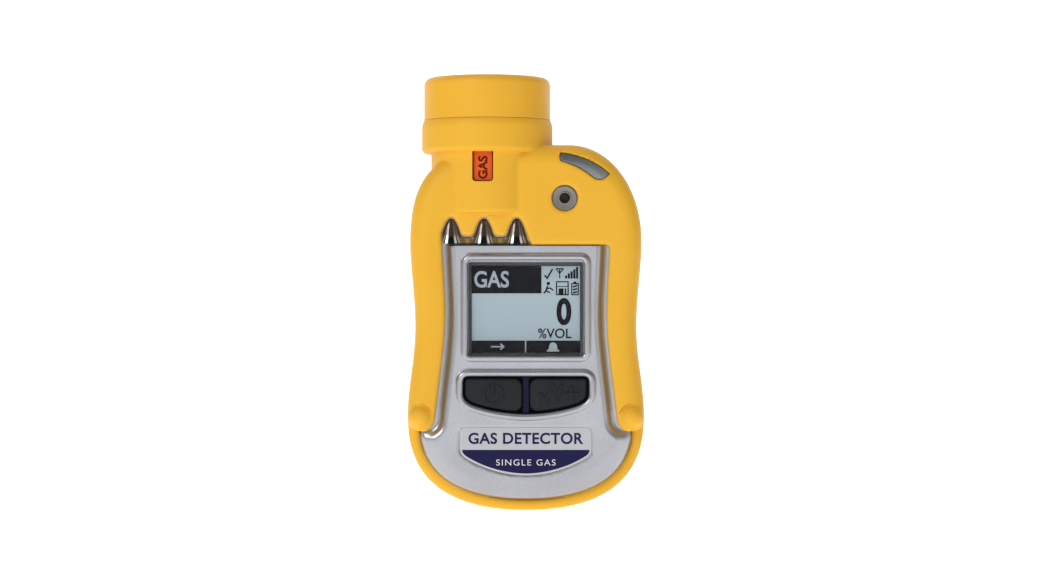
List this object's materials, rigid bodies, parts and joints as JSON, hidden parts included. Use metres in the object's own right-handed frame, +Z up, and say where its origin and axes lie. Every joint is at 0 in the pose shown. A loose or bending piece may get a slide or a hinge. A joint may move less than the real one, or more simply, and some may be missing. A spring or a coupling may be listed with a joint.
{
  "type": "portable gas detector",
  "caption": "Palm-sized gas detector in a rubber boot, with a screw-capped sensor neck left of centre, display, keys, alarm lights, sounder port and a sprung belt clip.",
  "frame": {"origin": "under the middle of the bounding box, at the lowest point of the boot", "axes": "+Z up along the body to the sensor cap, -Y out of the display, +X to the right as seen from the front"},
  "size_m": [0.0624, 0.0402, 0.1145],
  "materials": {
    "boot_rubber": "satin, fine moulded grain",
    "case_plastic": "satin silver-grey with fine metallic flake",
    "seal_rubber": "matt black",
    "screw_steel": "bright turned steel",
    "clear_window": "clear, polished",
    "lcd": "dull grey-blue liquid crystal cell in a white carrier",
    "white_plastic": "satin white",
    "nameplate_foil": "printed foil, silver above and navy below",
    "key_rubber": "matt black with raised legends",
    "black_plastic": "satin black",
    "stem_plastic": "natural nylon",
    "lamp_chrome": "metallised clear plastic",
    "led_red": "tinted clear epoxy",
    "smoked_lens": "smoky translucent plastic",
    "sounder_metal": "dark anodised ring",
    "membrane": "woven black membrane",
    "neck_plastic": "satin dark grey",
    "board": "green solder mask",
    "gold_pin": "gold flash",
    "cell_plastic": "satin ivory",
    "filter_felt": "white fluoropolymer felt",
    "flex_film": "amber polyimide film",
    "tag_orange": "orange label with dark red lettering",
    "cap_plastic": "satin yellow moulded plastic",
    "battery_wrap": "blue heat-shrink film over a flat metal cell",
    "can_steel": "tinned sheet",
    "ceramic": "pale ceramic-filled board",
    "weight_metal": "sintered heavy metal",
    "clip_steel": "bright stainless sheet",
    "label_film": "silver printed film",
    "spring_steel": "spring wire"
  },
  "bodies": {
    "instrument": {"rubber_boot": "boot_rubber", "front_case": "case_plastic", "rear_case": "case_plastic", "case_seal": "seal_rubber", "case_screw_1": "screw_steel", "case_screw_2": "screw_steel", "case_screw_3": "screw_steel", "case_screw_4": "screw_steel", "display_window": "clear_window", "display_module": "lcd", "backlight_panel": "white_plastic", "nameplate": "nameplate_foil", "keypad_frame": "black_plastic", "power_switch": "black_plastic", "select_switch": "black_plastic", "alarm_light_bar": "lamp_chrome", "alarm_led_1": "led_red", "alarm_led_2": "led_red", "alarm_led_3": "led_red", "shoulder_lens": "smoked_lens", "shoulder_led_1": "led_red", "shoulder_led_2": "led_red", "sounder_ring": "sounder_metal", "sounder_membrane": "membrane", "sounder": "black_plastic", "sensor_neck": "neck_plastic", "sensor_board": "board", "sensor_pin_1": "gold_pin", "sensor_pin_2": "gold_pin", "sensor_pin_3": "gold_pin", "sensor_cell": "cell_plastic", "sensor_inlet_disc": "filter_felt", "sensor_ribbon": "flex_film", "ribbon_socket": "white_plastic", "sensor_tag": "tag_orange", "main_board": "board", "battery_pack": "battery_wrap", "battery_connector": "white_plastic", "radio_module": "can_steel", "antenna": "ceramic", "vibration_motor": "can_steel", "contact_board": "board", "charge_contact_1": "gold_pin", "charge_contact_2": "gold_pin", "charge_contact_3": "gold_pin", "rear_label": "label_film", "clip_base": "clip_steel", "clip_pin": "screw_steel", "clip_spring": "spring_steel", "clip_screw": "screw_steel"},
    "power_key": {"power_key": "key_rubber"},
    "power_stem": {"power_switch_stem": "stem_plastic"},
    "select_key": {"select_key": "key_rubber"},
    "select_stem": {"select_switch_stem": "stem_plastic"},
    "cap_seal_carrier": {"cap_gasket": "seal_rubber", "cap_filter": "filter_felt"},
    "cap": {"sensor_cap": "cap_plastic"},
    "clip_arm": {"clip_lever": "clip_steel"},
    "motor_weight": {"vibration_weight": "weight_metal"}
  },
  "joints": [
    {"name": "power_key_press", "type": "slide", "parent": "instrument", "child": "power_key", "axis": [0, 1, 0], "range_m": [0, 0.0007], "stiffness_N_per_m": 2800, "springref_m": -0.0002},
    {"name": "power_switch_press", "type": "slide", "parent": "instrument", "child": "power_stem", "axis": [0, 1, 0], "range_m": [0, 0.0007]},
    {"name": "select_key_press", "type": "slide", "parent": "instrument", "child": "select_key", "axis": [0, 1, 0], "range_m": [0, 0.0007], "stiffness_N_per_m": 2800, "springref_m": -0.0002},
    {"name": "select_switch_press", "type": "slide", "parent": "instrument", "child": "select_stem", "axis": [0, 1, 0], "range_m": [0, 0.0007]},
    {"name": "cap_lift", "type": "slide", "parent": "instrument", "child": "cap_seal_carrier", "axis": [0, 0, 1], "range_m": [0, 0.00375]},
    {"name": "cap_turn", "type": "hinge", "parent": "cap_seal_carrier", "child": "cap", "pos_m": [-0.0103, -0.00265, 0.108], "axis": [0, 0, 1], "range_deg": [0, 450]},
    {"name": "clip_open", "type": "hinge", "parent": "instrument", "child": "clip_arm", "pos_m": [0, 0.01415, 0.062], "axis": [1, 0, 0], "range_deg": [0, 20], "stiffness_Nm_per_rad": 0.86, "springref_deg": -20.05, "deforming": ["clip_spring"]},
    {"name": "vibration_spin", "type": "hinge", "parent": "instrument", "child": "motor_weight", "pos_m": [0.009, 0.00135, 0.066], "axis": [1, 0, 0], "continuous": true}
  ],
  "couplings": [
    {"joint": "power_switch_press", "follows": "power_key_press", "ratio": 1},
    {"joint": "select_switch_press", "follows": "select_key_press", "ratio": 1},
    {"joint": "cap_lift", "follows": "cap_turn", "m_per_rad": 0.00047746}
  ]
}
